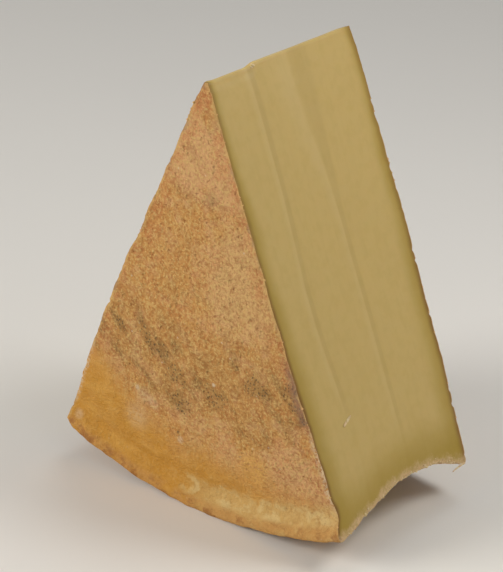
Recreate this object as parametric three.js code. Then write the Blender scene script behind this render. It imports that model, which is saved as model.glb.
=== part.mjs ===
// A wedge of hard mountain cheese: an eighth of a wheel, standing on its hollow rim.
// The wheel's centre line is the narrow edge on top. One rind face is in front and the other behind,
// and the two cuts slope down to the left and to the right.
// Millimetres, X across the wedge, Y along the wheel's axle, Z up, origin under the middle of its box.
import * as THREE from "three";
import { ImprovedNoise } from "three/addons/math/ImprovedNoise.js";
import { mergeVertices } from "three/addons/utils/BufferGeometryUtils.js";

// The wheel that the wedge was cut from
const WHEEL_RADIUS = 281;
const WHEEL_HEIGHT = 131; // rind to rind, at the centre and at the rim
const FACE_SWELL = 3; // how much prouder each rind face is half way out from the centre
const FACE_FALL = { depth: 2.7, end: 0.93 }; // the front one also falls away, up to this share of the way out
const GROOVE = { depth: 2, radius: 264, reach: 9 }; // and ends in a groove that leaves its lip proud
const HEEL_DEPTH = 13.4; // of the hollow that the hoop pressed round the rim
const HEEL_DEEPEST = 8; // the hollow's deepest line lies this far behind the middle
const HEEL_EASE = { front: 1.5, back: 1 }; // 1 meets its lip at a slope, more runs out flat
const LIP_RADIUS = 4; // of the turn from a rind face into the rim
const FOOT_FLAT = 1.2; // the lips are pressed flat by this much where they stand

// The left cut misses the right one at the tip, and swells a little on its way to the rim
const SECTOR = THREE.MathUtils.degToRad(45.7);
const TIP_WIDTH = 3;
const TIP_DROP = { depth: 1.6, reach: 8 }; // the tip is lower in front of the first stroke
const TIP_WIDTH_LEFT_AT_RIM = 0.3; // share of the miss that is left at the rim
const LEFT_SWELL = { height: 3.2, middle: 190, reach: 70 };

// The right cut was made in three strokes, so its strips lie at different depths.
// Each step is a slope, wide at the tip and narrow further out, and it is lower at the rim.
const STROKES = [
  { line: -31, rise: 0.8, width: 6 },
  { line: 13, rise: 0.7, width: 18 },
];
const STROKE_NARROWS = 0.43; // share of the way to the rim where a slope has its least width
const STROKE_LEAST_WIDTH = 5.5;
const STROKE_LEFT_AT_RIM = 0.5; // share of a step that is left at the rim
const STROKE_WANDER = { amount: 2.4, length: 90 };

// The knife also ran askew: the right cut stands out, most of all in front, and less again between two shares
// of the way to the rim
const ASKEW = { front: 2.3, back: 0.9, from: 0.86, to: 1.03 };

// Unevenness: amount is the largest swing, length the size of one swell
const RIND_WAVES = [
  { amount: 1.1, length: 46 },
  { amount: 0.6, length: 21 },
];
const HEEL_WAVES = [{ amount: 1.2, length: 38 }];
const CUT_WAVES = [{ amount: 0.8, length: 70 }];

// Number of grid lines from cut to cut, from face to face and from tip to rim
const LINES = { across: 24, through: 20, along: 32 };

const noise = new ImprovedNoise();

// Smooth unevenness at a place on the wheel, the sum of some waves.
function uneven(waves, x, y, z) {
  let sum = 0;
  for (const { amount, length } of waves) {
    sum += amount * noise.noise(x / length, y / length, z / length);
  }
  return sum;
}

// 1 at 0, and nearly 0 from 2 on, either way.
function bell(t) {
  return Math.exp(-t * t);
}

// 1 up to the first value, 0 from the second on, with an eased slope between.
function fadeOut(t, from, to) {
  return 1 - THREE.MathUtils.smoothstep(t, from, to);
}

// Distance of a rind face from the middle of the wheel. Outward is 0 at the axle and 1 at the rim.
function faceHeight(outward, inFront) {
  const height = WHEEL_HEIGHT / 2 + FACE_SWELL * Math.sin(Math.PI * outward);
  if (!inFront) return height;
  const fall = FACE_FALL.depth * outward * fadeOut(outward, FACE_FALL.end, 1);
  const groove = GROOVE.depth * bell((outward * WHEEL_RADIUS - GROOVE.radius) / GROOVE.reach);
  return height - fall - groove;
}

// Depth of the rim's hollow at a place along the axle.
function heelDepth(y) {
  const side = y < HEEL_DEEPEST ? "front" : "back";
  const run = WHEEL_HEIGHT / 2 + (side === "front" ? HEEL_DEEPEST : -HEEL_DEEPEST);
  const t = THREE.MathUtils.clamp((y - HEEL_DEEPEST) / run, -1, 1);
  return HEEL_DEPTH * (1 - t * t) ** HEEL_EASE[side];
}

// How far the left cut stands out from its plane through the axle.
function leftCutRise(outward) {
  const miss = TIP_WIDTH * THREE.MathUtils.lerp(1, TIP_WIDTH_LEFT_AT_RIM, outward);
  const t = (outward * WHEEL_RADIUS - LEFT_SWELL.middle) / LEFT_SWELL.reach;
  return miss + LEFT_SWELL.height * bell(t);
}

// How far the tip has dropped.
function tipDrop(y, radius) {
  const half = STROKE_LEAST_WIDTH / 2;
  const inFront = fadeOut(y - STROKES[0].line, -half, half);
  return TIP_DROP.depth * inFront * fadeOut(radius, 0, TIP_DROP.reach);
}

// How far the right cut stands out from its plane through the axle.
function rightCutRise(y, outward) {
  const narrowed = THREE.MathUtils.smoothstep(outward, 0, STROKE_NARROWS);
  const share = THREE.MathUtils.lerp(1, STROKE_LEFT_AT_RIM, outward);
  const along = (outward * WHEEL_RADIUS) / STROKE_WANDER.length;
  const askew = THREE.MathUtils.lerp(ASKEW.front, ASKEW.back, 0.5 + y / WHEEL_HEIGHT);
  let height = askew * outward * fadeOut(outward, ASKEW.from, ASKEW.to);
  STROKES.forEach(({ line, rise, width }, i) => {
    const half = THREE.MathUtils.lerp(width, STROKE_LEAST_WIDTH, narrowed) / 2;
    const past = y - line - STROKE_WANDER.amount * noise.noise(along, i + 0.5, 0.5);
    height += rise * share * THREE.MathUtils.smoothstep(past, -half, half);
  });
  return height;
}

// Rounds the corner between a rind face and the rim: past its core, the corner becomes a quarter circle.
function roundLip(y, radius, faceAt, rimAt) {
  const dy = Math.abs(y) - (faceAt - LIP_RADIUS);
  const dr = radius - (rimAt - LIP_RADIUS);
  if (dy <= 0 || dr <= 0) return [y, radius];
  const k = Math.max(dy, dr) / Math.hypot(dy, dr);
  return [Math.sign(y) * (faceAt - LIP_RADIUS + dy * k), rimAt - LIP_RADIUS + dr * k];
}

// Takes a point of the unit grid to the wedge: a runs from the left cut (-1) to the right one (1), b from the
// front rind face (-1) to the back one (1), and c from the tip (0) to the rim (1). What the cuts stand out is
// shared between them, so the tip is a straight edge.
function wedgePoint(a, b, c) {
  const angle = (a * SECTOR) / 2;
  const outX = Math.sin(angle);
  const outZ = -Math.cos(angle);
  const placeX = c * WHEEL_RADIUS * outX;
  const placeZ = c * WHEEL_RADIUS * outZ;

  const faceAt = faceHeight(c, b < 0) + uneven(RIND_WAVES, placeX, Math.sign(b) * WHEEL_HEIGHT, placeZ);
  const squareY = b * faceAt;
  const hollow = heelDepth((b * WHEEL_HEIGHT) / 2);
  const rimAt = WHEEL_RADIUS - hollow + uneven(HEEL_WAVES, placeX, squareY, 0);
  const [y, radius] = roundLip(squareY, c * rimAt, faceAt, rimAt);

  const left = leftCutRise(c) + uneven(CUT_WAVES, -WHEEL_HEIGHT, y, radius);
  const right = rightCutRise(y, c) + uneven(CUT_WAVES, WHEEL_HEIGHT, y, radius);
  const toRight = (1 + a) / 2;
  const x = radius * outX + Math.cos(SECTOR / 2) * THREE.MathUtils.lerp(-left, right, toRight);
  const lift = Math.sin(SECTOR / 2) * THREE.MathUtils.lerp(left, right, toRight);
  const z = WHEEL_RADIUS + radius * outZ + lift - tipDrop(y, radius);
  return [x, y, Math.max(z, FOOT_FLAT)];
}

// Draws even grid lines closer together towards -1 and 1, where the lips turn.
function closeUp(t) {
  return Math.sin((Math.PI / 2) * t);
}

// The skin of a box, its grid wrapped round the wedge, with the wedge's lowest point at Z 0.
function wedgeGeometry() {
  const grid = new THREE.BoxGeometry(2, 2, 1, LINES.across, LINES.through, LINES.along);
  grid.deleteAttribute("normal");
  grid.deleteAttribute("uv");
  const skin = mergeVertices(grid);
  const points = skin.getAttribute("position");
  for (let i = 0; i < points.count; i++) {
    const a = points.getX(i);
    const b = closeUp(points.getY(i));
    const c = closeUp(0.5 - points.getZ(i));
    points.setXYZ(i, ...wedgePoint(a, b, c));
  }
  skin.computeBoundingBox();
  const { min, max } = skin.boundingBox;
  skin.translate(-(min.x + max.x) / 2, -(min.y + max.y) / 2, -min.z);
  skin.computeVertexNormals();
  return skin;
}

const cheese = new THREE.MeshStandardMaterial({ color: 0xc39a5f, roughness: 0.65, metalness: 0 });

const wedge = new THREE.Mesh(wedgeGeometry(), cheese);
wedge.name = "cheese_wedge";

const part = new THREE.Group();
part.add(wedge);

export default part;
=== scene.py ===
"""A wedge of hard mountain cheese, an eighth of a wheel, standing on its hollow rim.

The wheel's section is spun about its axle through the wedge's angle, and the solid is then given its
swell, its hollow rim, the steps of the knife's strokes, its worn edges and the relief of the rind.
Crumbs and shavings that cling to it are pieces of their own.
Metres, X across the wedge, Y along the wheel's axle, Z up.
"""

import math
import random

import bmesh
import bpy
from bpy.props import FloatProperty, FloatVectorProperty, IntProperty, PointerProperty
from mathutils import Matrix, Vector, noise


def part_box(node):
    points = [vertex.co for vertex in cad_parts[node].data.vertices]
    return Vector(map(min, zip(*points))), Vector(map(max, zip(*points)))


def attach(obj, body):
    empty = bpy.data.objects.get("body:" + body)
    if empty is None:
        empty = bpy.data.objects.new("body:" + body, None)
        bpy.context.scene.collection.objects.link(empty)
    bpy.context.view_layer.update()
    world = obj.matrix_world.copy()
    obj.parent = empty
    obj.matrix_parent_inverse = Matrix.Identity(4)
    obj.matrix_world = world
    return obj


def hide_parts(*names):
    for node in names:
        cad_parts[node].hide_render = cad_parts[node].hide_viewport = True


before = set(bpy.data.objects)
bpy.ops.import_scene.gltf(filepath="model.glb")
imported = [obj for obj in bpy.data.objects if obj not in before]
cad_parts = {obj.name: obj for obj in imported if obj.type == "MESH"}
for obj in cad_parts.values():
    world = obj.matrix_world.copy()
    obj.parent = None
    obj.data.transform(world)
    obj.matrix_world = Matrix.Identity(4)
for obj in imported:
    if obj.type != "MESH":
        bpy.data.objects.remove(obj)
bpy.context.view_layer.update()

bl_info = {
    "name": "Cheese wedge",
    "version": (1, 0, 0),
    "blender": (4, 5, 0),
    "location": "3D View > Sidebar > Cheese",
    "description": "Cuts a wedge of hard cheese with its rind, crumbs and shavings, and sets its stage",
    "category": "Add Mesh",
}

MM = 0.001
BODY = "root"
NODE = "cheese_wedge"
LOWEST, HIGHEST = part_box(NODE)

# From the wheel's axle to the middle of the wedge's box
TO_MIDDLE = Vector((0.5 * MM, -0.8 * MM, 0))

# Steps of the first coarse grid from cut to cut, from rind face to rind face and from tip to rim
STEPS_ACROSS = 28
STEPS_THROUGH = 13
STEPS_ALONG = 36
FINER = 4  # cuts that the coarse grid's edges then get
CROWDING = 0.35  # how far the grid lines are drawn to the edges
PIVOT_SHARE = 0.01  # of the radius is left free at the axle, so that the section's copies stay apart

# Relief: how far it swings and the length of one swell
RIND_SWELLS = ((1.1 * MM, 46 * MM), (0.6 * MM, 21 * MM))
RIND_LUMPS = ((0.42 * MM, 9.5 * MM), (0.24 * MM, 4.2 * MM))
RIM_SWELLS = ((1.2 * MM, 38 * MM), (0.6 * MM, 12 * MM), (0.5 * MM, 4.5 * MM))
CUT_SWELLS = ((0.8 * MM, 70 * MM), (0.12 * MM, 16 * MM))
PIT_SPACING = 8 * MM
PIT_REACH = 0.34  # of the spacing
PIT_DEPTH = 0.55 * MM

# The knife's strokes on the right cut: where a step lies along the axle and how far it bows, its rise, its
# width at the tip, and how far from the rim it ends
STROKES = (
    {"line": -29 * MM, "bow": 5 * MM, "rise": 0.8 * MM, "width": 4 * MM, "end": 62 * MM},
    {"line": 13 * MM, "bow": 0, "rise": 0.7 * MM, "width": 18 * MM, "end": 26 * MM},
)
STROKE_NAMES = ("first_stroke", "second_stroke")
STROKE_NARROWS = 0.43  # share of the way out where a step has its least width
STROKE_LEAST_WIDTH = 3.6 * MM
STROKE_AT_RIM = 0.5  # share of a step that is left
BOW_MIDDLE = 0.54  # of the way out
BOW_REACH = 0.2

# The left cut swells a little on its way to the rim
LEFT_SWELL = 3.2 * MM
LEFT_SWELL_MIDDLE = 190 * MM
LEFT_SWELL_REACH = 70 * MM
TIP_MISS_AT_RIM = 0.3  # share that is left of how far the cuts miss each other at the tip

# The knife ran a little askew, so that the right cut stands out, most of all in front, but not at the lip
ASKEW = 2.3 * MM
ASKEW_AT_BACK = 0.4
ASKEW_ENDS = (0.86, 1.03)  # shares of the way out

# The cuts' edges with the rind are torn, the right ones less
TEARS = ((0.9 * MM, 14 * MM), (0.5 * MM, 5 * MM))
TEAR_REACH = 7 * MM
TEAR_ON_RIGHT = 0.6

# The front rind face falls away outwards to a groove, and the lip then stands proud of it
FACE_FALL = 2.7 * MM
FACE_FALL_ENDS = 0.93  # of the way out
GROOVE_DEPTH = 2 * MM
GROOVE_RADIUS = 264 * MM
GROOVE_REACH = 9 * MM

# The lips' corners are blunt at the left cut
CORNER_WEAR = 1.2 * MM
CORNER_REACH = 4 * MM

# The hollow of the rim: how far behind the middle it is deepest, and how softly it runs out to its lips
HEEL_DEEPEST = 8 * MM
HEEL_EASE_FRONT = 1.5
HEEL_EASE_BACK = 1.0

# Nicks along the edges: smooth stretches, and places where the edge has crumbled
NICK_LENGTH = 4.6 * MM
NICK_FROM = 0.22  # noise above this crumbles the edge
NICK_REACH = 1.8 * MM

# The tip is worn down, is lower in front of the first stroke, and is chipped beside it
WORN_DOWN = 1.5 * MM
WORN_REACH = 24 * MM
DROP_DEPTH = 1.9 * MM
DROP_REACH = 8 * MM
CHIP_PLACE = -27.5 * MM
CHIP_REACH = 2.2 * MM
CHIP_DEPTH = 1 * MM
CHIP_RADIUS = 6 * MM

# The right cut runs on past the axle, so that the blunt tip leans to the left
TIP_PEAK = 1.8 * MM
TIP_PEAK_REACH = 30 * MM
SHARP_CORNER = 14 * MM  # the tip's corners are not nicked

# Crumbs: how they are stretched, and the height, number and shift of their lumps
SEED = 7
CRUMB_LEAST = 0.3  # of the largest
CRUMB_ROUNDS = 2  # of splitting the ball that a crumb starts as
CRUMB_STRETCH = (0.6, 1.25)
LUMP_HEIGHT = 0.5  # of the radius
LUMP_COUNT = 1.8  # across a crumb
LUMP_SHIFT = 99

# Where crumbs lie, in shares of the way to the cuts, to the rind faces and from the tip to the rim
HEEL_THROUGH = 0.97
HEEL_BAND = 0.014  # up from the rim
EDGE_ACROSS = 0.996
EDGE_THROUGH = 0.997
EDGE_ALONG = (0.05, 0.99)
TIP_ACROSS = (0.4, 1)
TIP_THROUGH = (-0.42, -0.38)
TIP_BAND = 0.008  # down from the tip

# The flake on the right cut: its middle along the axle and out from it, and how it slants, bends and lifts
FLAKE_PLACE = -33 * MM
FLAKE_RADIUS = 222.5 * MM
FLAKE_SLANT = -0.2
FLAKE_BEND = 0.8 * MM
FLAKE_LIFT = 0.6 * MM
FLAKE_STEPS_ALONG = 16
FLAKE_STEPS_ACROSS = 4
WELD = 0.01 * MM  # points of the flake that are closer become one

# The string of rind at the back lip
CURL_FROM = 0.97  # of the way from the middle to the back rind face
CURL_ANGLE = 0.16
CURL_STEPS = 14
CURL_SIDES = 8
CURL_END = 0.45  # share of its thickness that is left at its end
CURL_WAVES = ((0.8 * MM, 4 * MM),)


def blot(x, z, reach, share, colour="mould"):
    """A blot on the front rind face. Its place and its reach are in millimetres."""
    return {"x": x * MM, "z": z * MM, "reach": reach * MM, "share": share, "colour": colour}


def layer(colour, share, *ranges, on=None):
    """A layer of colour: how much of it shows where its ranges meet, and the zone that it keeps to.
    A range is a field, the values where it sets in and where it is full, and for some a noise that pushes
    the field about, and how far."""
    return {"colour": colour, "share": share, "ranges": ranges, "on": on}


# Single marks on the front rind face
MARKS = (
    blot(-14, 44, 3.4, 0.36, "bloom"),
    blot(-16, 48.5, 1.6, 0.8),
    blot(-48.7, 68, 2.4, 0.4, "bloom"),
    blot(-44, 63, 9, 0.14, "bloom"),
    blot(11.5, 91, 1.8, 0.7, "bloom"),
    blot(-99, 30, 5, 0.25, "bloom"),
    blot(-36, 61, 6, 0.14, "bloom"),
    blot(6, 210, 7, 0.25),
    blot(-50, 47, 13, 0.18, "bloom"),
    blot(43, 46, 18, 0.55, "honey"),
)
MARK_FULL = 1 / 3  # share of its reach within which a mark is full
MARK_RAGGED = 1.6  # of its reach

# Patches on the front rind face where the mould is thick
PATCHES = (
    blot(-58, 104, 13, 0.3),
    blot(-44, 109, 9, 0.5),
    blot(-30, 99, 11, 0.6),
    blot(-16, 88, 12, 0.7),
    blot(-14, 69, 14, 0.9),
    blot(13, 81, 12, 0.6),
    blot(28, 117, 15, 0.25),
    blot(44, 102, 13, 0.75),
    blot(69, 108, 10, 0.7),
    blot(78, 94, 10, 0.7),
)
PATCH_FULL = 1 / 4
PATCH_RAGGED = 22 * MM

# Soft noises of the rind: the size of a swell, the number of finer octaves and their strength
RIND_NOISES = {
    "drift": (40 * MM, 3, 0.5),
    "mottle": (10 * MM, 3, 0.6),
    "patches": (14 * MM, 3, 0.6),
    "crust": (9 * MM, 4, 0.6),
    "lip": (13 * MM, 3, 0.5),
    "curd": (4.5 * MM, 3, 0.6),
    "grain": (1.9 * MM, 4, 0.75),
    "worn": (17 * MM, 2, 0.5),
}
STAIN_NOISE = (11 * MM, 3, 0.6)
STAIN_SLANT = math.radians(-45)
STAIN_STRETCH = (0.4, 1, 1)
HONEY_NOISE = (11 * MM, 4, 0.6)
HONEY_STRETCH = (0.5, 1, 1.3)

# Spacing of the rind's flecks, pores, specks and white bloom, and the size and amount of what warps them
FLECKS = 1.2 * MM
FLECK_WARP = (2 * MM, 1.5 * MM)
PORES = 4.2 * MM
SPECKS = 2 * MM
SPECK_WARP = (2 * MM, 1 * MM)
BLOOM = 10 * MM

# Lines and places on the rind, out from the axle and across the wedge
BELT_RADIUS = 190 * MM
BELT_RAGGED = 40 * MM
GOLD_RADIUS = 235 * MM
GOLD_LEAN = 2
GOLD_HIGHER_LEFT = 18 * MM
FOLD_RADIUS = 74 * MM
FOLD_LEAN = 0.1
FOLD_RAGGED = 18 * MM
PALE_RADIUS = 120 * MM
PALE_ACROSS = 36 * MM

# Zones of the rind, each where its ranges meet
RIND_ZONES = {
    "in_front": (("y", -50 * MM, -55 * MM),),
    "far_left": (("x", -45 * MM, -85 * MM),),
    "belt": (("from_wavy_belt", 42 * MM, 14 * MM),),
    "rosy": (("fold", 82 * MM, 66 * MM), ("out", 12 * MM, 36 * MM)),
    "pale": (("from_pale", 50 * MM, 12 * MM, "drift", 40 * MM),),
    "low": (("out", 220 * MM, 236 * MM), ("x", 0, 25 * MM)),
    "crumbled": (("out", 205 * MM, 225 * MM), ("out", 268 * MM, 256 * MM)),
    "stain": (("slanting", 0.46, 0.66),),
    "honeyed": (("streaky", 0.42, 0.72),),
    "pores": (("from_pore", 0.34, 0.1),),
    "specks": (("from_speck", 0.42, 0.18),),
    "grainy": (("grain", 0.3, 0.55),),
    "greyed": (("worn", 0.5, 0.62),),
    "edge_flecks": (("fleck", 0.6, 0.25),),
}
GOLD_ZONE = (
    ("gold_out", 222 * MM, 256 * MM, "drift", 50 * MM),
    ("gold_across", 75 * MM, -15 * MM, "drift", 60 * MM),
)

# How much the gold, the blush, the hollows of the grain and the damp belt show or change
GOLD_SMOOTHS = 0.8
GOLD_SHARE = 0.85
GOLD_KEEPS_MOULD_OFF = 0.4
BLUSH_DRIFT = 0.5
BLUSH_ABOVE = 0.4
BLUSH_BELOW = 0.3
BLUSH_RANGE = (0.42, 0.8)
HOLLOWS = 1.1
HOLLOWS_LESS_ROSY = 0.4
BELT_SHARE = 0.15
STAIN_SHARE = 0.55
STAIN_MOULD = 0.5

# The worn band along a cut, wider and whiter where the edge has crumbled
EDGE_BAND = 2 * MM
EDGE_CRUMBLED = 2.2 * MM
EDGE_FULL = 0.2 * MM
EDGE_GRAIN = 5 * MM
EDGE_MOTTLE = 6 * MM
EDGE_GREYED = 0.6
EDGE_WHITE = 0.7
EDGE_SHARE = 0.6

# Layers of the rind in the order in which they are laid
GROUND_LAYERS = (
    layer("cream", 0.4, on="pale"),
    layer("ruddy", 0.5, ("out", 32 * MM, 14 * MM)),
    layer("ruddy", 0.35, ("patches", 0.5, 0.66), on="coarse"),
    layer("umber", 0.3, ("patches", 0.47, 0.33), on="coarse"),
    layer("rust", 0.35, ("from_fold", 2.4 * MM, 0.4 * MM), on="in_front"),
    layer("umber", 1, on="damp"),
    layer("ruddy", 0.6, ("from_cut", 15 * MM, 2 * MM, "drift", 20 * MM), ("mottle", 0.4, 0.6)),
)
RIM_LAYERS = (
    layer("cream", 0.75, ("out", 254 * MM, 266 * MM, "mottle", 24 * MM), ("x", -20 * MM, 15 * MM)),
    layer(
        "whey",
        0.75,
        ("out", 257 * MM, 264 * MM, "mottle", 16 * MM),
        ("out", 275 * MM, 270 * MM),
        ("crust", 0.45, 0.6),
        ("x", -30 * MM, 5 * MM),
    ),
    layer("tan", 0.7, ("out", 270 * MM, 276 * MM), ("lip", 0.36, 0.52)),
    layer("rust", 0.75, ("out", 271 * MM, 278 * MM), ("crust", 0.48, 0.6)),
)
GRAIN_LAYERS = (
    layer("rust", 0.5, ("curd", 0.5, 0.3), on="hollows"),
    layer("cream", 0.3, ("curd", 0.5, 0.7), on="coarse"),
    layer("rust", 0.55, ("grain", 0.5, 0.3), on="hollows"),
    layer("cream", 0.95, ("grain", 0.5, 0.64), on="coarse"),
    layer("rust", 0.25, ("fleck", 0.45, 0.15), on="hollows"),
    layer("cream", 0.5, ("fleck", 0.6, 0.9), on="coarse"),
)
MOULD_LAYERS = (
    layer("umber", 0.55, ("thick", 0, 1.2)),
    layer("mould", 0.75, ("mouldy", 0.12, 0.75, "grain", 0.6), on="specks"),
    layer("bloom", 0.45, ("from_bloom", 0.09, 0.03), on="coarse"),
)
EDGE_LAYERS = (
    layer(
        "mauve",
        0.6,
        ("from_cut", 8 * MM, 1 * MM, "mottle", 12 * MM),
        ("x", 0, 20 * MM),
        ("from_belt", 28 * MM, 12 * MM),
    ),
)
RIND_BUMPS = {"grain": 1.1, "mottle": 0.5, "fleck": 0.3}
PORE_DENTS = 0.5
RIND_BUMP = 1.2 * MM
RIND_ROUGHNESS = 0.74
RIND_ROUGHNESS_SPREAD = 0.2
RIND_SHEEN = {"Specular_IOR_Level": 0.25}

# The cut cheese: its noises, and how far ripe cheese and a brown band that is partly dry cheese and partly
# painted shade reach in from the rind
PASTE_NOISES = {
    "drift": (26 * MM, 2, 0.5),
    "fleck": (2.2 * MM, 2, 0.5),
    "haze": (7 * MM, 2, 0.5),
    "ragged": (6 * MM, 3, 0.6),
    "relief": (5 * MM, 3, 0.5),
}
STREAK_NOISE = (3.2 * MM, 2, 0.5)
STREAK_STRETCH = (0.06, 1, 0.06)
STREAK_RANGE = ("streak", 0.45, 0.75)
STREAK_SHARE = 0.05
HAZE_RANGE = ("haze", 0.4, 0.7)
HAZE_SHARE = 0.1
BACK_RANGE = ("y", 0, 20 * MM)
RIPE_REACH = 6 * MM
RIPE_OUTWARDS = 0.05
RIPE_AT_BACK = 3 * MM
RIPE_RAGGED = 6 * MM
RIPE_LAYERS = (
    layer("ripe", 0.75, ("ripeness", 1.1, 0.1)),
    layer("ripe", 0.75, ("under_rim", 34 * MM, 4 * MM, "drift", 12 * MM)),
)
# Dry cheese and painted shade along the rind's edge: how far in it reaches, further at the back, and its
# share, which grows further out
DRY_AND_SHADE_REACH = 3.4 * MM
DRY_AND_SHADE_AT_BACK = 2.6 * MM
DRY_AND_SHADE_FULL = 0.3 * MM
DRY_AND_SHADE_RAGGED = 2 * MM
DRY_AND_SHADE_SHARE = 0.55
DRY_AND_SHADE_OUTWARDS = 0.4
DRY_AND_SHADE_RANGE = ("out", 70 * MM, 180 * MM)

# A stroke's painted highlight at its foot and painted shade on its slope, which fade before and after the
# place where the stroke ends
STROKE_SHADING_LAYERS = (
    layer("crumb", 0.12, ("slope", -4, -1.4), ("slope", -0.7, -1.3), on="fading"),
    layer("stroke", 0.13, ("from_slope", 1.2, 0.5), on="fading"),
)
STROKE_FADES = (-10 * MM, 20 * MM)

# The rind's thickness along the rim and the back edge, and small holes in the cheese, whose painted shade
# shows as dark spots with no hollow in the mesh
LINE_CELLS = 1.6 * MM
LINE_WARP = (3 * MM, 1.5 * MM)
LINE_RANGE = ("under_rim", 7 * MM, 1 * MM, "ragged", 10 * MM)
LINE_CRUMBLY = ("crumbly", 0.2, 0.6)
LINE_EVEN = 0.6
LINE_SHARE = 0.8
HOLE_SPACING = 36 * MM
LAST_LAYERS = (
    layer("rind_line", 0.6, ("under_face", 0.9 * MM, 0.2 * MM), ("out", 30 * MM, 90 * MM), on="at_back"),
    # Painted shade: small holes as dark spots in the colour only
    layer("dry_and_shade", 0.6, ("from_hole", 0.022, 0.01)),
)
PASTE_BUMPS = {"relief": 0.5, "fleck": 0.2}
LINE_BUMPS = 4
PASTE_BUMP = 0.15 * MM
PASTE_ROUGHNESS = 0.5
PASTE_ROUGHNESS_SPREAD = 0.15
PASTE_SHEEN = {
    "Specular_IOR_Level": 0.35,
    "Subsurface_Weight": 0.25,
    "Subsurface_Radius": (1.0, 0.6, 0.25),
    "Subsurface_Scale": 4 * MM,
}

# Crumbs and shavings: their noise, and where it turns from one colour into the other
CRUMB_NOISE = (2.5 * MM, 2)
CRUMB_RANGE = (0.4, 0.6)
CRUMB_BUMP = 0.2 * MM
CRUMB_ROUGHNESS = 0.7
CRUMB_ROUGHNESS_SPREAD = 0.1
CRUMB_SHEEN = {"Specular_IOR_Level": 0.3}

# The stage: its floor, and the size, place and colour of its lamps, which face the wedge
FLOOR_SIZE = 6
FLOOR_NOISE = (0.4, 3)
FLOOR_PALER = 1.04
FLOOR_ROUGHNESS = 0.8
FLOOR_BUMP = 0.1 * MM
LAMPS = {
    "key": {"size": 1.2, "place": (-1.1, -1.6, 0.95), "colour": (1, 0.97, 0.93)},
    "side": {"size": 0.4, "place": (0.55, 0.3, 0.85), "colour": (1, 0.98, 0.95)},
    "fill": {"size": 1.2, "place": (1.9, -0.5, 1.3), "colour": (1, 0.98, 0.95)},
    "top": {"size": 0.9, "place": (-0.3, 0.9, 1.7), "colour": (1, 1, 1)},
}
LAMPS_FACE = Vector((0, 0, 0.13))
SENSOR_WIDTH = 36  # millimetres


def linear(code):
    """Scene-linear colour of a hex code."""
    channels = ((code >> shift & 255) / 255 for shift in (16, 8, 0))
    return tuple(c / 12.92 if c <= 0.04045 else ((c + 0.055) / 1.055) ** 2.4 for c in channels)


def length_prop(name, description, default):
    """A length in metres."""
    return FloatProperty(
        name=name, description=description, default=default, min=0, unit="LENGTH", precision=4
    )


def colour_prop(name, description, code):
    """A colour from its hex code."""
    return FloatVectorProperty(
        name=name, description=description, default=linear(code), subtype="COLOR", min=0, max=1
    )


def angle_prop(name, description, degrees):
    """An angle, given in degrees."""
    return FloatProperty(name=name, description=description, default=math.radians(degrees), subtype="ANGLE")


def count_prop(name, description, default):
    """A number of pieces."""
    return IntProperty(name=name, description=description, default=default, min=0, subtype="UNSIGNED")


def power_prop(name, description, watts):
    """The power of a lamp."""
    return FloatProperty(name=name, description=description, default=watts, min=0, subtype="POWER")


class WedgeForm(bpy.types.PropertyGroup):
    """Sizes of the wheel and of the wedge that was cut from it."""

    wheel_radius: length_prop("Wheel radius", "From the axle to the rim's lips", HIGHEST.z - LOWEST.z)
    wheel_height: length_prop("Wheel height", "From rind to rind at the centre and at the rim", 131 * MM)
    sector: angle_prop("Sector", "Angle between the two cuts", 45.7)
    face_swell: length_prop("Face swell", "How much prouder a rind face is half way out", 3 * MM)
    heel_depth: length_prop("Heel depth", "Depth of the hollow round the rim", 13.4 * MM)
    lip_radius: length_prop("Lip radius", "Of the turn from a rind face into the rim", 4 * MM)
    foot_flat: length_prop("Foot flat", "How much the lips are pressed flat where they stand", 1.2 * MM)
    tip_width: length_prop("Tip width", "How far the cuts miss each other at the tip", 3 * MM)
    edge_wear: length_prop("Edge wear", "How much every cut edge is blunted", 0.2 * MM)
    nick_depth: length_prop("Nick depth", "Depth of the places where an edge has crumbled", 1 * MM)


class CrumbForm(bpy.types.PropertyGroup):
    """Crumbs and shavings that cling to the wedge."""

    heel_crumbs: count_prop("Heel crumbs", "Crumbs along the rim's edges", 320)
    edge_crumbs: count_prop("Edge crumbs", "Crumbs along the other edges of the rind", 180)
    tip_crumbs: count_prop("Tip crumbs", "Crumbs in the tip's chip", 24)
    crumb_size: length_prop("Crumb size", "Across the largest crumb", 1.5 * MM)
    flake_length: length_prop("Flake length", "Of the shaving that lies on the right cut", 8.5 * MM)
    flake_width: length_prop("Flake width", "Across that shaving", 2 * MM)
    flake_thickness: length_prop("Flake thickness", "Of that shaving", 0.45 * MM)
    curl_radius: length_prop("Curl radius", "Of the string of rind that hangs at the back lip", 80 * MM)
    curl_thickness: length_prop("Curl thickness", "Of that string", 1.4 * MM)


class RindLook(bpy.types.PropertyGroup):
    """Colours of the rind."""

    tan: colour_prop("Tan", "The washed rind's main colour", 0xC6904D)
    blush: colour_prop("Blush", "Paler, pinkish grain towards the tip", 0xD2A16E)
    rust: colour_prop("Rust", "Orange-brown in the pores and along the lips", 0x9A602E)
    ruddy: colour_prop("Ruddy", "Reddish orange along the cut edges", 0xC27C48)
    umber: colour_prop("Umber", "Brown shade of the damp belt", 0x8C6837)
    gold: colour_prop("Gold", "Smoother golden skin near the rim", 0xC48B2C)
    honey: colour_prop("Honey", "Brighter streaks in the gold", 0xD29C42)
    cream: colour_prop("Cream", "Pale band above the lip and the worn edges", 0xD1AD6C)
    whey: colour_prop("Whey", "Whitish crust on that band", 0xDCC083)
    mould: colour_prop("Mould", "Grey-green specks of the cellar", 0x52462F)
    bloom: colour_prop("Bloom", "White specks", 0xDCD0BA)
    mauve: colour_prop("Mauve", "Greyish patch near the right cut", 0x836659)


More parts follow.
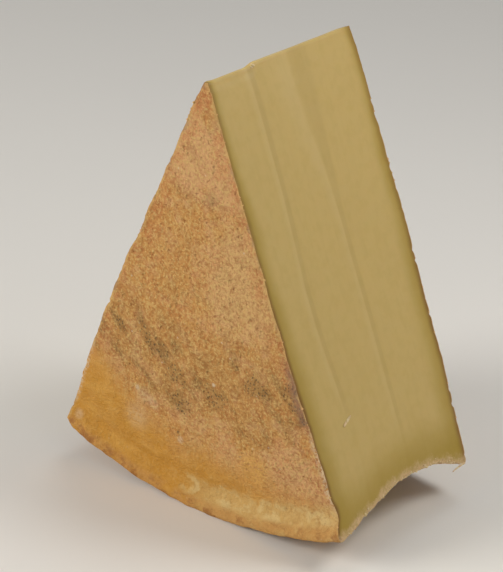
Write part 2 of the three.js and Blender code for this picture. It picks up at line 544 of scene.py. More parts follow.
class PasteLook(bpy.types.PropertyGroup):
    """Colours of the cut cheese."""

    paste: colour_prop("Paste", "The middle of the cut", 0xCAAE6C)
    ripe: colour_prop("Ripe", "Golden olive towards the rind", 0xA68A30)
    # Dry cheese and painted shade along the rind's edge, and the painted shade of small holes
    dry_and_shade: colour_prop("Dry", "Brown just under the rind", 0x86602B)
    # Painted shade on the slope of each knife step
    stroke: colour_prop("Stroke", "Shade on the slope of a knife's step", 0x9C8349)
    rind_line: colour_prop("Rind line", "The rind's own thickness along the rim", 0xD8B78C)
    crumb: colour_prop("Crumb", "Crumbs and shavings", 0xE2CFA0)


class StageLook(bpy.types.PropertyGroup):
    """Floor, lights and camera."""

    floor: colour_prop("Floor", "Plain pale floor", 0xE2DFD9)
    key: power_prop("Key light", "Soft light from the left", 34)
    side: power_prop("Side light", "Soft light on the right cut", 3.7)
    fill: power_prop("Fill light", "Soft light from the right", 2)
    top: power_prop("Top light", "Soft light from above and behind", 4)
    sky: FloatProperty(
        name="Sky", description="Even light from all round", default=0.25, min=0, subtype="FACTOR"
    )
    azimuth: angle_prop("Azimuth", "Round the wedge from the front, towards its right cut", 38.08)
    elevation: angle_prop("Elevation", "Above the horizon", 25.25)
    roll: angle_prop("Roll", "Tilt of the camera about its line of sight", 2.205)
    distance: length_prop("Distance", "From the camera to what it looks at", 1.4166)
    look_at: FloatVectorProperty(
        name="Look at",
        description="Middle of the picture",
        default=(-0.0143, -0.0008, 0.125),
        subtype="TRANSLATION",
    )
    focal: FloatProperty(
        name="Focal length", description="For a sensor of 36 mm", default=145.4, unit="CAMERA", min=1
    )


class Value:
    """A shader socket that Python's operators work on. Each operation adds a Math node."""

    def __init__(self, finish, socket):
        self.finish = finish
        self.socket = socket

    def maths(self, operation, *values):
        """A Math node's result."""
        return self.finish.node("ShaderNodeMath", {"operation": operation}, *values)

    def __add__(self, other):
        return self.maths("ADD", self, other)

    def __radd__(self, other):
        return self.maths("ADD", other, self)

    def __sub__(self, other):
        return self.maths("SUBTRACT", self, other)

    def __rsub__(self, other):
        return self.maths("SUBTRACT", other, self)

    def __mul__(self, other):
        return self.maths("MULTIPLY", self, other)

    def __rmul__(self, other):
        return self.maths("MULTIPLY", other, self)

    def __truediv__(self, other):
        return self.maths("DIVIDE", self, other)

    def __pow__(self, other):
        return self.maths("POWER", self, other)

    def __abs__(self):
        return self.maths("ABSOLUTE", self)


class Finish:
    """A material under construction, with the nodes that the finishes here share."""

    def __init__(self, name):
        self.material = bpy.data.materials.new(name)
        self.material.use_nodes = True
        self.tree = self.material.node_tree
        self.shader = self.tree.nodes["Principled BSDF"]
        self.place = self.node("ShaderNodeTexCoord", {}, output="Object")

    def node(self, kind, settings, *inputs, output="", **named):
        """Adds a node, sets it up, and fills its sockets in order or by name. Gives its first output, or the
        one that is named. Sockets that its settings hide don't count."""
        node = self.tree.nodes.new(kind)
        for key, value in settings.items():
            setattr(node, key, value)
        sockets = [socket for socket in node.inputs if socket.enabled]
        for socket, value in zip(sockets, inputs):
            self.feed(socket, value)
        for key, value in named.items():
            self.feed(node.inputs[key], value)
        outputs = [socket for socket in node.outputs if socket.enabled and output in ("", socket.name)]
        return Value(self, outputs[0])

    def feed(self, socket, value):
        """Links a value to a socket, or sets the socket to a constant."""
        if isinstance(value, Value):
            self.tree.links.new(value.socket, socket)
        elif socket.type == "RGBA":
            socket.default_value = (*value, 1)
        else:
            socket.default_value = value

    def mix(self, share, first, second):
        """A colour between two colours."""
        return self.node("ShaderNodeMix", {"data_type": "RGBA"}, share, first, second)

    def ramp(self, value, low, high):
        """0 below low and 1 above high, with an eased slope between. High may be the lower one."""
        eased = {"interpolation_type": "SMOOTHSTEP"}
        return self.node("ShaderNodeMapRange", eased, value, low, high)

    def stretched(self, scale):
        """The place, drawn out or squeezed along each axis."""
        return self.node("ShaderNodeVectorMath", {"operation": "MULTIPLY"}, self.place, scale)

    def slanted(self, angle, scale):
        """The place, turned about the axle and then drawn out or squeezed along each axis."""
        about = {"rotation_type": "Y_AXIS"}
        turned = self.node("ShaderNodeVectorRotate", about, Vector=self.place, Angle=angle)
        return self.node("ShaderNodeVectorMath", {"operation": "MULTIPLY"}, turned, scale)

    def warped(self, size, amount):
        """The place, pushed about so that cells lose their straight sides."""
        push = self.node("ShaderNodeTexNoise", {}, self.place, 1 / size, output="Color")
        added = {"operation": "MULTIPLY_ADD"}
        return self.node("ShaderNodeVectorMath", added, push, (amount,) * 3, self.place)

    def cloud(self, size, detail, roughness=0.5, place=None):
        """Soft noise from 0 to 1 whose swells are about this size."""
        return self.node("ShaderNodeTexNoise", {}, place or self.place, 1 / size, detail, roughness)

    def cells(self, size, place=None):
        """Distance to the nearest of scattered points, in shares of their spacing."""
        return self.node("ShaderNodeTexVoronoi", {}, place or self.place, 1 / size, output="Distance")

    def flecks(self, size, place):
        """One chance value from 0 to 1 for each of many small cells."""
        return self.node("ShaderNodeTexVoronoi", {}, place, 1 / size, output="Color")

    def attribute(self, name):
        """A value that every point of the mesh carries."""
        return self.node("ShaderNodeAttribute", {"attribute_name": name}, output="Fac")

    def axes(self):
        """The place's X, Y and Z."""
        return [self.node("ShaderNodeSeparateXYZ", {}, self.place, output=axis) for axis in "XYZ"]

    def length(self, first, second):
        """Length of the straight line across two right-angled ones."""
        return (first * first + second * second) ** 0.5

    def done(self, colour, roughness, height, height_scale, **plain):
        """Feeds the shader: its colour, its roughness, a bump, and sockets that are the same all over."""
        bump = self.node("ShaderNodeBump", {}, Height=height, Distance=height_scale)
        self.feed(self.shader.inputs["Base Color"], colour)
        self.feed(self.shader.inputs["Roughness"], roughness)
        self.feed(self.shader.inputs["Normal"], bump)
        for name, value in plain.items():
            self.shader.inputs[name.replace("_", " ")].default_value = value
        return self.material


def smoothstep(value, low, high):
    """0 at low and 1 at high, with an eased slope between. High may be the lower one."""
    t = min(max((value - low) / (high - low), 0), 1)
    return t * t * (3 - 2 * t)


def between(share, first, last):
    """The value at a share of the way from the first to the last."""
    return first + (last - first) * share


def bell(value):
    """1 at 0, and nearly 0 from 2 on, either way."""
    return math.exp(-value * value)


def swells(place, waves):
    """Sum of smooth unevenness at a place."""
    return sum(amount * noise.noise(place / length) for amount, length in waves)


def crowd(t):
    """Draws even grid lines closer together towards -1 and 1."""
    return between(CROWDING, t, math.sin(math.pi / 2 * t))


class WedgeShaper:
    """Takes a point of the plain sector to the real wedge."""

    def __init__(self, form):
        self.form = form
        self.half_height = form.wheel_height / 2

    def face_height(self, outward, in_front):
        """Distance of a rind face from the wheel's middle. Outward is 0 at the axle and 1 at the rim."""
        height = self.half_height + self.form.face_swell * math.sin(math.pi * outward)
        if in_front:
            height -= FACE_FALL * outward * smoothstep(outward, 1, FACE_FALL_ENDS)
            height -= GROOVE_DEPTH * bell((outward * self.form.wheel_radius - GROOVE_RADIUS) / GROOVE_REACH)
        return height

    def heel_depth(self, y):
        """Depth of the rim's hollow at a place along the axle."""
        if y < HEEL_DEEPEST:
            run, ease = self.half_height + HEEL_DEEPEST, HEEL_EASE_FRONT
        else:
            run, ease = self.half_height - HEEL_DEEPEST, HEEL_EASE_BACK
        t = min(abs(y - HEEL_DEEPEST) / run, 1)
        return self.form.heel_depth * (1 - t * t) ** ease

    def left_cut(self, outward):
        """How far the left cut stands out from its plane through the axle."""
        miss = self.form.tip_width * between(outward, 1, TIP_MISS_AT_RIM)
        t = (outward * self.form.wheel_radius - LEFT_SWELL_MIDDLE) / LEFT_SWELL_REACH
        return miss + LEFT_SWELL * bell(t)

    def on_strokes(self, y, outward):
        """Where a place lies on the slope of each stroke, from its foot (-1) to its top (1) and beyond."""
        narrowed = smoothstep(outward, 0, STROKE_NARROWS)
        places = []
        for stroke in STROKES:
            line = stroke["line"] - stroke["bow"] * bell((outward - BOW_MIDDLE) / BOW_REACH)
            places.append(2 * (y - line) / between(narrowed, stroke["width"], STROKE_LEAST_WIDTH))
        return places

    def right_cut(self, y, outward):
        """How far the right cut stands out from its plane through the axle."""
        left_over = between(outward, 1, STROKE_AT_RIM)
        steps = zip(STROKES, self.on_strokes(y, outward))
        risen = sum(stroke["rise"] * left_over * smoothstep(slope, -1, 1) for stroke, slope in steps)
        askew = ASKEW * between((1 - y / self.half_height) / 2, ASKEW_AT_BACK, 1)
        return risen + askew * outward * smoothstep(outward, *reversed(ASKEW_ENDS))

    def tip_drop(self, y, radius):
        """How far the tip is worn down, with its drop in front of the first stroke and its chip."""
        first = STROKES[0]["line"]
        drop = DROP_DEPTH * smoothstep(y - first, STROKE_LEAST_WIDTH / 2, -STROKE_LEAST_WIDTH / 2)
        chip = CHIP_DEPTH * bell((y - CHIP_PLACE) / CHIP_REACH)
        worn = WORN_DOWN * smoothstep(radius, WORN_REACH, 0)
        return worn + drop * smoothstep(radius, DROP_REACH, 0) + chip * smoothstep(radius, CHIP_RADIUS, 0)

    def rind_relief(self, place):
        """Height of the rind's unevenness, lumps and pits."""
        nearest = noise.voronoi(place / PIT_SPACING)[0][0]
        pit = PIT_DEPTH * smoothstep(nearest, PIT_REACH, 0)
        return swells(place, RIND_SWELLS) + swells(place, RIND_LUMPS) - pit

    def round_lip(self, y, radius, face, rim):
        """Turns the square corner between a rind face and the rim into a quarter circle."""
        lip = self.form.lip_radius
        dy = abs(y) - (face - lip)
        dr = radius - (rim - lip)
        if dy <= 0 or dr <= 0:
            return y, radius
        k = max(dy, dr) / math.hypot(dy, dr)
        return math.copysign(face - lip + dy * k, y), rim - lip + dr * k

    def wear(self, place, radius, from_edge):
        """How much of an edge is gone: a little everywhere, more where it has crumbled."""
        crumbled = smoothstep(noise.noise(place / NICK_LENGTH), NICK_FROM, 1)
        crumbled *= smoothstep(radius, 0, SHARP_CORNER)
        depth = self.form.edge_wear + self.form.nick_depth * crumbled
        return depth * bell(from_edge / NICK_REACH)

    def shape(self, a, b, c):
        """Gives the place of a point, and its distances by name. a runs from the left cut (-1) to the
        right one (1), b from the front rind face (-1) to the back one (1), and c from the tip (0) to the
        rim (1)."""
        form = self.form
        angle = a * form.sector / 2
        out = Vector((math.sin(angle), 0, -math.cos(angle)))
        spot = out * (c * form.wheel_radius)
        spot.y = b * self.half_height

        on_face = Vector((spot.x, math.copysign(self.half_height, b), spot.z))
        face = self.face_height(c, b < 0) + self.rind_relief(on_face)
        rim = form.wheel_radius - self.heel_depth(spot.y) + swells(spot, RIM_SWELLS)
        under_face = face * (1 - abs(b))
        under_rim = rim * (1 - c)
        from_cut = rim * c * form.sector / 2 * (1 - abs(a))
        worn = self.wear(spot, rim * c, max(min(under_face, under_rim), from_cut))
        if a < 0:
            worn += CORNER_WEAR * bell(math.hypot(max(under_face, under_rim), from_cut) / CORNER_REACH)

        y, radius = self.round_lip(b * (face - worn), c * (rim - worn), face - worn, rim - worn)
        tear = swells(spot, TEARS) * bell(under_face / TEAR_REACH)
        left = self.left_cut(c) + swells(Vector((-1, y, radius)), CUT_SWELLS) + tear - worn
        right = self.right_cut(y, c) + swells(Vector((1, y, radius)), CUT_SWELLS)
        right += tear * TEAR_ON_RIGHT - worn
        across = (1 + a) / 2
        radius -= TIP_PEAK * across * smoothstep(radius, TIP_PEAK_REACH, 0)
        x = radius * out.x + math.cos(form.sector / 2) * between(across, -left, right)
        lift = math.sin(form.sector / 2) * between(across, left, right) - self.tip_drop(y, radius)
        z = max(form.wheel_radius + radius * out.z + lift, form.foot_flat) - form.foot_flat
        distances = {"under_face": under_face, "under_rim": under_rim, "from_cut": from_cut}
        distances.update(zip(STROKE_NAMES, self.on_strokes(y, c)))
        return Vector((x, y, z)) + TO_MIDDLE, distances


def spin_all(bm, centre, axis, angle, steps):
    """Spins a whole mesh about an axis into a closed solid. Gives its last copy."""
    spin = bmesh.ops.spin(
        bm,
        geom=[*bm.verts, *bm.edges, *bm.faces],
        cent=centre,
        axis=axis,
        dvec=(0, 0, 0),
        angle=angle,
        steps=steps,
        use_merge=False,
        use_duplicate=False,
    )
    return spin["geom_last"]


def shade_smooth(bm):
    """Shades every face smooth."""
    for face in bm.faces:
        face.smooth = True
    return bm


def spun_sector(form):
    """The wheel's section as a coarse grid, spun through the wedge's angle. Rind is 0 and cut cheese 1."""
    bm = bmesh.new()
    bmesh.ops.create_grid(bm, x_segments=STEPS_ALONG, y_segments=STEPS_THROUGH, size=0.5)
    pivot = form.wheel_radius * PIVOT_SHARE
    for vert in bm.verts:
        radius = between(vert.co.x + 0.5, pivot, form.wheel_radius)
        vert.co = (0, vert.co.y * form.wheel_height, -radius)
    bmesh.ops.rotate(bm, verts=bm.verts, matrix=Matrix.Rotation(form.sector / 2, 3, "Y"))
    cuts = list(bm.faces)
    last = spin_all(bm, (0, 0, 0), (0, 1, 0), -form.sector, STEPS_ACROSS)
    cuts += [item for item in last if isinstance(item, bmesh.types.BMFace)]
    for face in bm.faces:
        middle = face.calc_center_median()
        on_tip = math.hypot(middle.x, middle.z) < pivot
        face.material_index = int(on_tip or face in cuts)
    return shade_smooth(bm)


def wedge_mesh(form):
    """The whole wedge: rind on its faces and rim, and cheese on its cuts and tip."""
    bm = spun_sector(form)
    bmesh.ops.subdivide_edges(bm, edges=bm.edges[:], cuts=FINER, use_grid_fill=True)
    bmesh.ops.recalc_face_normals(bm, faces=bm.faces)
    for edge in bm.edges:
        edge.smooth = len({face.material_index for face in edge.link_faces}) == 1

    names = ("under_face", "under_rim", "from_cut", *STROKE_NAMES)
    layers = {name: bm.verts.layers.float.new(name) for name in names}
    shaper = WedgeShaper(form)
    pivot = form.wheel_radius * PIVOT_SHARE
    for vert in bm.verts:
        a = math.atan2(vert.co.x, -vert.co.z) / (form.sector / 2)
        b = vert.co.y / (form.wheel_height / 2)
        c = (math.hypot(vert.co.x, vert.co.z) - pivot) / (form.wheel_radius - pivot)
        vert.co, distances = shaper.shape(crowd(a), crowd(b), crowd(max(c, 0)))
        for name, distance in distances.items():
            vert[layers[name]] = distance
    return bm


def add_object(name, bm, *finishes):
    """Makes a mesh an object of the scene."""
    mesh = bpy.data.meshes.new(name)
    bm.to_mesh(mesh)
    bm.free()
    for finish in finishes:
        mesh.materials.append(finish)
    thing = bpy.data.objects.new(name, mesh)
    bpy.context.collection.objects.link(thing)
    return thing


def add_piece(name, bm, *finishes):
    """Makes a mesh a piece of the wedge."""
    piece = add_object(name, bm, *finishes)
    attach(piece, BODY)
    return piece


def add_crumb(bm, place, size, chance):
    """One lumpy crumb of chance proportions."""
    ball = bmesh.ops.create_icosphere(bm, subdivisions=CRUMB_ROUNDS, radius=size / 2)["verts"]
    stretch = [chance.uniform(*CRUMB_STRETCH) for _ in range(3)]
    shift = Vector([chance.uniform(-LUMP_SHIFT, LUMP_SHIFT) for _ in range(3)])
    turn = Matrix.Rotation(chance.uniform(0, math.tau), 3, "X")
    turn = turn @ Matrix.Rotation(chance.uniform(0, math.tau), 3, "Z")
    for vert in ball:
        lump = 1 + LUMP_HEIGHT * noise.noise(vert.co * (LUMP_COUNT / size) + shift)
        vert.co = place + turn @ Vector([lump * k * part for k, part in zip(stretch, vert.co)])


def crumbs_mesh(crumbs, form, count, place_of):
    """Crumbs half sunk into the wedge, each at a place that chance gives. Most are small."""
    bm = bmesh.new()
    shaper = WedgeShaper(form)
    chance = random.Random(SEED)
    for _ in range(count):
        place, _ = shaper.shape(*place_of(chance))
        size = crumbs.crumb_size * between(chance.random() ** 2, CRUMB_LEAST, 1)
        add_crumb(bm, place, size, chance)
    return shade_smooth(bm)


def on_heel(chance):
    """A place along the edge between a cut and the rim."""
    across = chance.choice((-1, 1))
    through = chance.uniform(-HEEL_THROUGH, HEEL_THROUGH)
    return across, through, 1 - HEEL_BAND * chance.random() ** 2


def on_rind_edge(chance):
    """A place just inside the edge between a cut and a rind face."""
    across = EDGE_ACROSS * chance.choice((-1, 1))
    through = EDGE_THROUGH * chance.choice((-1, 1))
    return across, through, chance.uniform(*EDGE_ALONG)


def on_tip(chance):
    """A place on the tip, beside its chip."""
    across = chance.uniform(*TIP_ACROSS)
    through = chance.uniform(*TIP_THROUGH)
    return across, through, TIP_BAND * chance.random()


def flake_mesh(crumbs, form):
    """A thin shaving, pointed at both ends, that lies across the right cut."""
    bm = bmesh.new()
    bmesh.ops.create_grid(bm, x_segments=FLAKE_STEPS_ALONG, y_segments=FLAKE_STEPS_ACROSS, size=0.5)
    shaper = WedgeShaper(form)
    normal = Vector((math.cos(form.sector / 2), 0, math.sin(form.sector / 2)))
    for vert in bm.verts:
        along, across = 2 * vert.co.x, 2 * vert.co.y
        width = crumbs.flake_width / 2 * (1 - along * along) ** 0.5
        y = FLAKE_PLACE + along * crumbs.flake_length / 2
        radius = FLAKE_RADIUS + across * width + FLAKE_SLANT * (y - FLAKE_PLACE)
        radius -= FLAKE_BEND * along * along
        outward = radius / form.wheel_radius
        place, _ = shaper.shape(1, y / shaper.face_height(outward, True), outward)
        vert.co = place + normal * (FLAKE_LIFT * along * along)
    bmesh.ops.solidify(bm, geom=bm.faces[:], thickness=crumbs.flake_thickness)
    bmesh.ops.remove_doubles(bm, verts=bm.verts, dist=WELD)
    bmesh.ops.recalc_face_normals(bm, faces=bm.faces)
    return shade_smooth(bm)


def curl_mesh(crumbs, form):
    """A string of rind that hangs from the back lip's corner, bent forward under the right cut."""
    bm = bmesh.new()
    bmesh.ops.create_circle(bm, cap_ends=True, segments=CURL_SIDES, radius=crumbs.curl_thickness / 2)
    corner, _ = WedgeShaper(form).shape(1, CURL_FROM, 1)
    axle = corner - Vector((0, 0, crumbs.curl_radius))
    bmesh.ops.rotate(bm, verts=bm.verts, matrix=Matrix.Rotation(math.pi / 2, 3, "X"))
    bmesh.ops.translate(bm, verts=bm.verts, vec=corner)
    spin_all(bm, axle, (1, 0, 0), CURL_ANGLE, CURL_STEPS)
    for vert in bm.verts:
        turned = math.atan2(axle.y - vert.co.y, vert.co.z - axle.z)
        heart = axle + Matrix.Rotation(turned, 3, "X") @ Vector((0, 0, crumbs.curl_radius))
        taper = between(turned / CURL_ANGLE, 1, CURL_END)
        vert.co = heart + (vert.co - heart) * taper + swells(vert.co, CURL_WAVES) * Vector((1, 0, 1))
    bmesh.ops.recalc_face_normals(bm, faces=bm.faces)
    return shade_smooth(bm)


class Paint:
    """Lays colours over each other on one finish. Its fields are distances, noises and zones, by name."""

    def __init__(self, name, look, form, noises):
        self.look = look
        self.finish = Finish(name)
        x, y, z = self.finish.axes()
        out = self.finish.length(x, form.wheel_radius - z)
        self.fields = {"x": x, "y": y, "z": z, "out": out}
        for field, waves in noises.items():
            self.fields[field] = self.finish.cloud(*waves)

    def push(self, cloud, reach):
        """A noise as a push to either side."""
        return (self.fields[cloud] - 0.5) * reach

    def shown(self, field, low, high, cloud=None, reach=0):
        """0 up to one value of a field and 1 from another on. A noise may push the field about."""
        value = self.fields[field]
        if cloud:
            value = value + self.push(cloud, reach)
        return self.finish.ramp(value, low, high)

    def zone(self, ranges, share=1):
        """A share of where all the ranges meet."""
        return math.prod((self.shown(*limits) for limits in ranges), start=share)

    def near(self, blot, full, cloud, ragged):
        """1 in the middle of a blot on the front rind face, and 0 past its reach."""
        away = self.finish.length(self.fields["x"] - blot["x"], self.fields["z"] - blot["z"])
        covered = self.finish.ramp(away + self.push(cloud, ragged), blot["reach"], blot["reach"] * full)
        return covered * self.fields["in_front"]

    def lay(self, mask, colour):
        """Lays a colour over what is there, as far as the mask shows it."""
        self.colour = self.finish.mix(mask, self.colour, colour)

    def lay_all(self, layers):
        """Lays the layers of a table."""
        for step in layers:
            mask = self.zone(step["ranges"], step["share"])
            if step["on"]:
                mask = mask * self.fields[step["on"]]
            self.lay(mask, getattr(self.look, step["colour"]))


def survey_rind(paint):
    """Works out the rind's fields: its distances, its specks and its zones."""
    f = paint.finish
    at = paint.fields
    at["from_cut"] = f.attribute("from_cut")
    at["fleck"] = f.flecks(FLECKS, f.warped(*FLECK_WARP))
    at["from_pore"] = f.cells(PORES)
    at["from_speck"] = f.cells(SPECKS, f.warped(*SPECK_WARP))
    at["from_bloom"] = f.cells(BLOOM)
    at["slanting"] = f.cloud(*STAIN_NOISE, f.slanted(STAIN_SLANT, STAIN_STRETCH))
    at["streaky"] = f.cloud(*HONEY_NOISE, f.stretched(HONEY_STRETCH))
    at["from_belt"] = abs(at["out"] - BELT_RADIUS)
    at["from_wavy_belt"] = abs(at["out"] - BELT_RADIUS + paint.push("drift", BELT_RAGGED))
    at["fold"] = at["out"] - at["x"] * FOLD_LEAN + paint.push("mottle", FOLD_RAGGED)
    at["from_fold"] = abs(at["fold"] - FOLD_RADIUS)
    at["from_pale"] = f.length(at["x"] - PALE_ACROSS, at["out"] - PALE_RADIUS)
    for name, ranges in RIND_ZONES.items():
        at[name] = paint.zone(ranges)
    at["damp"] = at["belt"] * (BELT_SHARE + at["stain"] * STAIN_SHARE)
    at["gold_out"] = at["out"] + at["far_left"] * GOLD_HIGHER_LEFT
    at["gold_across"] = at["x"] - (at["out"] - GOLD_RADIUS) * GOLD_LEAN
    at["golden"] = paint.zone(GOLD_ZONE)
    at["coarse"] = 1 - at["golden"] * GOLD_SMOOTHS
    at["hollows"] = at["coarse"] * (HOLLOWS - at["rosy"] * HOLLOWS_LESS_ROSY)


def lay_ground(paint):
    """Tan with blush, darker patches, a fold below the tip, and the stains of the damp belt."""
    at = paint.fields
    look = paint.look
    blush = at["mottle"] + paint.push("drift", BLUSH_DRIFT)
    blush = blush + (at["rosy"] + at["pale"]) * BLUSH_ABOVE + at["low"] * BLUSH_BELOW
    paint.colour = paint.finish.mix(paint.finish.ramp(blush, *BLUSH_RANGE), look.tan, look.blush)
    paint.lay_all(GROUND_LAYERS)


def lay_mould(paint):
    """Specks of mould on brown, thick in the stains and the patches, and white bloom all over."""
    at = paint.fields
    thick = at["stain"] * at["belt"] * STAIN_MOULD
    for patch in PATCHES:
        thick = thick + paint.near(patch, PATCH_FULL, "mottle", PATCH_RAGGED) * patch["share"]
    at["thick"] = thick
    at["mouldy"] = thick - at["golden"] * GOLD_KEEPS_MOULD_OFF
    paint.lay_all(MOULD_LAYERS)


def lay_marks(paint):
    """Single spots and hazes."""
    for mark in MARKS:
        near = paint.near(mark, MARK_FULL, "grain", mark["reach"] * MARK_RAGGED)
        paint.lay(near * paint.fields["grainy"] * mark["share"], getattr(paint.look, mark["colour"]))


def lay_worn_edges(paint):
    """Pale edges along the cuts, greyed in places, and whiter where they have crumbled."""
    f = paint.finish
    at = paint.fields
    look = paint.look
    crumbled = at["crumbled"]
    inward = at["from_cut"] + paint.push("grain", EDGE_GRAIN) + paint.push("mottle", EDGE_MOTTLE)
    edge = f.ramp(inward, EDGE_BAND + crumbled * EDGE_CRUMBLED, EDGE_FULL)
    edge = edge * (1 - crumbled * at["edge_flecks"])
    worn = f.mix(at["greyed"] * (1 - crumbled) * EDGE_GREYED, look.cream, look.mauve)
    paint.lay(edge * EDGE_SHARE, f.mix(crumbled * EDGE_WHITE, worn, look.bloom))


def rind_finish(look, form):
    """Washed rind: tan and blush grain, a damp speckled belt, gold and cream towards the rim."""
    paint = Paint("washed_rind", look, form, RIND_NOISES)
    survey_rind(paint)
    at = paint.fields
    lay_ground(paint)
    paint.lay(at["golden"] * GOLD_SHARE, paint.finish.mix(at["honeyed"], look.gold, look.honey))
    paint.lay_all(RIM_LAYERS)
    paint.lay_all(GRAIN_LAYERS)
    lay_mould(paint)
    lay_marks(paint)
    paint.lay_all(EDGE_LAYERS)
    lay_worn_edges(paint)
    bumps = sum(at[name] * share for name, share in RIND_BUMPS.items())
    height = bumps - at["pores"] * at["coarse"] * PORE_DENTS
    roughness = RIND_ROUGHNESS + paint.push("grain", RIND_ROUGHNESS_SPREAD)
    return paint.finish.done(paint.colour, roughness, height, RIND_BUMP, **RIND_SHEEN)


def survey_paste(paint):
    """Works out the fields of the cut cheese."""
    f = paint.finish
    at = paint.fields
    at["under_face"] = f.attribute("under_face")
    at["under_rim"] = f.attribute("under_rim")
    at["streak"] = f.cloud(*STREAK_NOISE, f.stretched(STREAK_STRETCH))
    at["crumbly"] = f.flecks(LINE_CELLS, f.warped(*LINE_WARP))
    at["from_hole"] = f.cells(HOLE_SPACING)
    at["at_back"] = paint.shown(*BACK_RANGE)
    reach = at["out"] * RIPE_OUTWARDS + RIPE_REACH + at["at_back"] * RIPE_AT_BACK
    at["ripeness"] = (at["under_face"] + paint.push("drift", RIPE_RAGGED)) / reach


def lay_ripeness(paint):
    """Faint streaks and haze, and darker cheese under the rind, which reaches further in at the back; its
    brown edge is partly dry cheese and partly painted shade.
    """
    at = paint.fields
    look = paint.look
    veil = paint.shown(*STREAK_RANGE) * STREAK_SHARE + paint.shown(*HAZE_RANGE) * HAZE_SHARE
    paint.colour = paint.finish.mix(veil, look.paste, look.ripe)
    paint.lay_all(RIPE_LAYERS)
    # Brown band at the rind's edge: partly dry cheese, partly painted shade
    inward = at["under_face"] + paint.push("drift", DRY_AND_SHADE_RAGGED)
    dry_and_shade = paint.finish.ramp(inward, DRY_AND_SHADE_REACH + at["at_back"] * DRY_AND_SHADE_AT_BACK, DRY_AND_SHADE_FULL)
    paint.lay(dry_and_shade * (DRY_AND_SHADE_SHARE + paint.shown(*DRY_AND_SHADE_RANGE) * DRY_AND_SHADE_OUTWARDS), look.dry_and_shade)


def lay_stroke_shading(paint):
    """Painted highlight at the foot and painted shade on the slope of each step of the knife's strokes."""
    at = paint.fields
    for name, stroke in zip(STROKE_NAMES, STROKES):
        starts, ends = (stroke["end"] + way for way in STROKE_FADES)
        at["slope"] = paint.finish.attribute(name)
        at["from_slope"] = abs(at["slope"])
        at["fading"] = paint.finish.ramp(at["under_rim"], starts, ends)
        paint.lay_all(STROKE_SHADING_LAYERS)


def paste_finish(look, form):
    """The cut: pale and waxy in the middle, golden olive and then brown towards the rind, that brown partly
    painted shade, with painted highlight and shade at the knife's steps and painted shade in small holes.
    """
    paint = Paint("cut_paste", look, form, PASTE_NOISES)
    survey_paste(paint)
    lay_ripeness(paint)
    # Painted highlight and painted shade along the knife's steps
    lay_stroke_shading(paint)
    line = paint.shown(*LINE_RANGE) * between(paint.shown(*LINE_CRUMBLY), LINE_EVEN, 1)
    paint.lay(line * LINE_SHARE, look.rind_line)
    # The rind's line at the back, and the painted shade of small holes
    paint.lay_all(LAST_LAYERS)
    bumps = sum(paint.fields[name] * share for name, share in PASTE_BUMPS.items())
    height = bumps + line * paint.fields["crumbly"] * LINE_BUMPS
    roughness = PASTE_ROUGHNESS + paint.push("fleck", PASTE_ROUGHNESS_SPREAD)
    return paint.finish.done(paint.colour, roughness, height, PASTE_BUMP, **PASTE_SHEEN)


def crumb_finish(name, first, second):
    """Dry crumbs between two colours."""
    f = Finish(name)
    tint = f.cloud(*CRUMB_NOISE)
    colour = f.mix(f.ramp(tint, *CRUMB_RANGE), first, second)
    roughness = CRUMB_ROUGHNESS + (tint - 0.5) * CRUMB_ROUGHNESS_SPREAD
    return f.done(colour, roughness, tint, CRUMB_BUMP, **CRUMB_SHEEN)


class CHEESE_OT_cut_wedge(bpy.types.Operator):
    """Cut the wedge, with its rind and its smooth sides"""

    bl_idname = "cheese.cut_wedge"
    bl_label = "Cut wedge"

    def execute(self, context):
        scene = context.scene
        rind = rind_finish(scene.rind_look, scene.wedge_form)
        paste = paste_finish(scene.paste_look, scene.wedge_form)
        wedge = add_piece("wedge", wedge_mesh(scene.wedge_form), rind, paste)
        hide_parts(NODE)
        return {"FINISHED"}


class CHEESE_OT_scatter_crumbs(bpy.types.Operator):
    """Press crumbs into the wedge's edges"""

    bl_idname = "cheese.scatter_crumbs"
    bl_label = "Scatter crumbs"

    def execute(self, context):
        scene = context.scene
        crumbs = scene.crumb_form
        form = scene.wedge_form
        paste = scene.paste_look
        rind = scene.rind_look
        pale = crumb_finish("pale_crumb", paste.crumb, paste.rind_line)
        dark = crumb_finish("rind_crumb", rind.blush, rind.cream)
        add_piece("heel_crumbs", crumbs_mesh(crumbs, form, crumbs.heel_crumbs, on_heel), pale)
        add_piece("tip_crumbs", crumbs_mesh(crumbs, form, crumbs.tip_crumbs, on_tip), pale)
        add_piece("edge_crumbs", crumbs_mesh(crumbs, form, crumbs.edge_crumbs, on_rind_edge), dark)
        return {"FINISHED"}


class CHEESE_OT_add_shavings(bpy.types.Operator):
    """Lay a flake on the right cut, and hang a string of rind at the back lip"""

    bl_idname = "cheese.add_shavings"
    bl_label = "Add shavings"

    def execute(self, context):
        scene = context.scene
        paste = scene.paste_look
        finish = crumb_finish("shaving", paste.crumb, paste.rind_line)
        add_piece("flake", flake_mesh(scene.crumb_form, scene.wedge_form), finish)
        add_piece("curl", curl_mesh(scene.crumb_form, scene.wedge_form), finish)
        return {"FINISHED"}


def hang_lamp(name, power, size, place, colour):
    """Hangs a round soft lamp that faces the wedge."""
    light = bpy.data.lights.new(name, "AREA")
    light.energy = power
    light.shape = "DISK"
    light.size = size
    light.color = colour
    lamp = bpy.data.objects.new(name, light)
    lamp.location = place
    lamp.rotation_euler = (LAMPS_FACE - lamp.location).to_track_quat("-Z", "Y").to_euler()
    bpy.context.collection.objects.link(lamp)


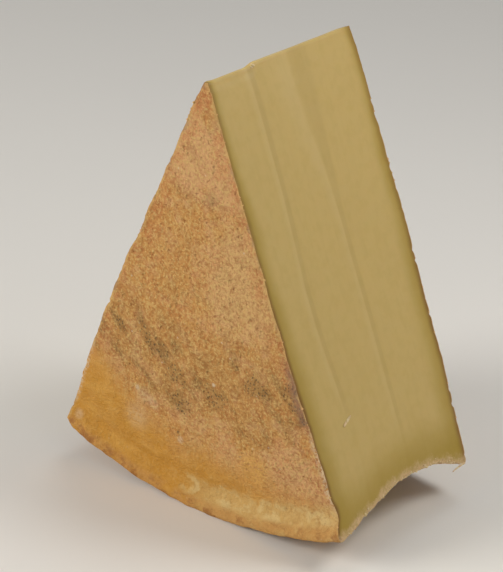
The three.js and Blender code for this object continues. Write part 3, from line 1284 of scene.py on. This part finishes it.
class CHEESE_OT_set_stage(bpy.types.Operator):
    """Lay the floor, hang the lights and place the camera"""

    bl_idname = "cheese.set_stage"
    bl_label = "Set stage"

    def execute(self, context):
        look = context.scene.stage_look
        self.lay_floor(look)
        for name, lamp in LAMPS.items():
            hang_lamp(name, getattr(look, name), **lamp)
        self.light_sky(look, context.scene)
        self.place_camera(look, context.scene)
        return {"FINISHED"}

    def lay_floor(self, look):
        """A large plain floor with hardly any drift in its colour."""
        bm = bmesh.new()
        bmesh.ops.create_grid(bm, x_segments=1, y_segments=1, size=FLOOR_SIZE)
        f = Finish("pale_floor")
        tint = f.cloud(*FLOOR_NOISE)
        paler = tuple(min(FLOOR_PALER * c, 1) for c in look.floor)
        finish = f.done(f.mix(tint, look.floor, paler), FLOOR_ROUGHNESS, tint, FLOOR_BUMP)
        floor = add_object("floor", bm, finish)

    def light_sky(self, look, scene):
        """An even white sky, shown without a tone curve."""
        world = bpy.data.worlds.new("soft_sky")
        world.use_nodes = True
        sky = world.node_tree.nodes["Background"]
        sky.inputs["Color"].default_value = (1, 1, 1, 1)
        sky.inputs["Strength"].default_value = look.sky
        scene.world = world
        scene.view_settings.view_transform = "Standard"

    def place_camera(self, look, scene):
        """Puts the camera where the wedge is seen from, and turns it."""
        back = Vector((
            math.sin(look.azimuth) * math.cos(look.elevation),
            -math.cos(look.azimuth) * math.cos(look.elevation),
            math.sin(look.elevation),
        ))
        right = Vector((0, 0, 1)).cross(back).normalized()
        up = back.cross(right)
        turn = Matrix((right, up, back)).transposed() @ Matrix.Rotation(look.roll, 3, "Z")
        data = bpy.data.cameras.new("camera")
        data.sensor_width = SENSOR_WIDTH
        data.lens = look.focal
        camera = bpy.data.objects.new("camera", data)
        camera.matrix_world = Matrix.LocRotScale(Vector(look.look_at) + back * look.distance, turn, None)
        bpy.context.collection.objects.link(camera)
        scene.camera = camera


class CHEESE_PT_wedge(bpy.types.Panel):
    """Sizes, colours and steps of the cheese wedge"""

    bl_label = "Cheese wedge"
    bl_space_type = "VIEW_3D"
    bl_region_type = "UI"
    bl_category = "Cheese"

    def draw(self, context):
        for group in SETTINGS:
            box = self.layout.box()
            for name in SETTINGS[group].__annotations__:
                box.prop(getattr(context.scene, group), name)
        for step in STEPS:
            self.layout.operator(step.bl_idname)


SETTINGS = {
    "wedge_form": WedgeForm,
    "crumb_form": CrumbForm,
    "rind_look": RindLook,
    "paste_look": PasteLook,
    "stage_look": StageLook,
}
STEPS = (CHEESE_OT_cut_wedge, CHEESE_OT_scatter_crumbs, CHEESE_OT_add_shavings, CHEESE_OT_set_stage)
CLASSES = (*SETTINGS.values(), *STEPS, CHEESE_PT_wedge)


def register():
    for cls in CLASSES:
        bpy.utils.register_class(cls)
    for name, group in SETTINGS.items():
        setattr(bpy.types.Scene, name, PointerProperty(type=group))


def unregister():
    for name in SETTINGS:
        delattr(bpy.types.Scene, name)
    for cls in reversed(CLASSES):
        bpy.utils.unregister_class(cls)


def main():
    register()
    bpy.ops.cheese.cut_wedge()
    bpy.ops.cheese.scatter_crumbs()
    bpy.ops.cheese.add_shavings()
    bpy.ops.cheese.set_stage()


if __name__ == "__main__":
    main()
